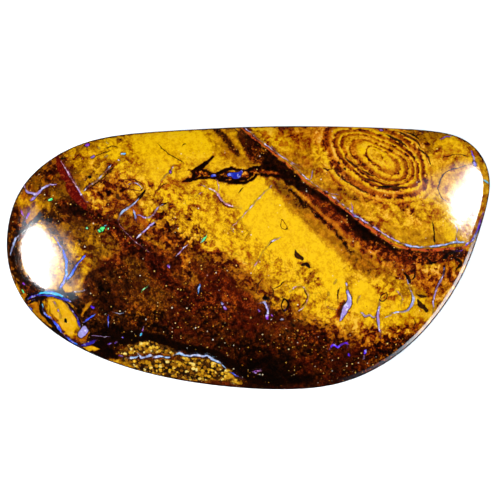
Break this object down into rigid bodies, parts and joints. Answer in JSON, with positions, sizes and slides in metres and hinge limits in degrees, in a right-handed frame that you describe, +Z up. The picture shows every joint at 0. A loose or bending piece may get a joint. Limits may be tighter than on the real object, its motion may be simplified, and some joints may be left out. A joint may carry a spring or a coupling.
{
  "type": "polished boulder opal cabochon",
  "caption": "Freeform polished cabochon of boulder opal: a low dome of golden and brown ironstone with opal veins, on a flat back that it rests on.",
  "frame": {"origin": "on the surface that the stone rests on, under the middle of its bounding box", "axes": "+X along the stone's length towards its tightly rounded end, +Y across it towards its nearly straight edge, +Z up out of the dome"},
  "size_m": [0.04, 0.0218, 0.0048],
  "materials": {
    "polished_ironstone": "polished"
  },
  "bodies": {
    "root": {"boulder_opal": "polished_ironstone"}
  },
  "joints": []
}
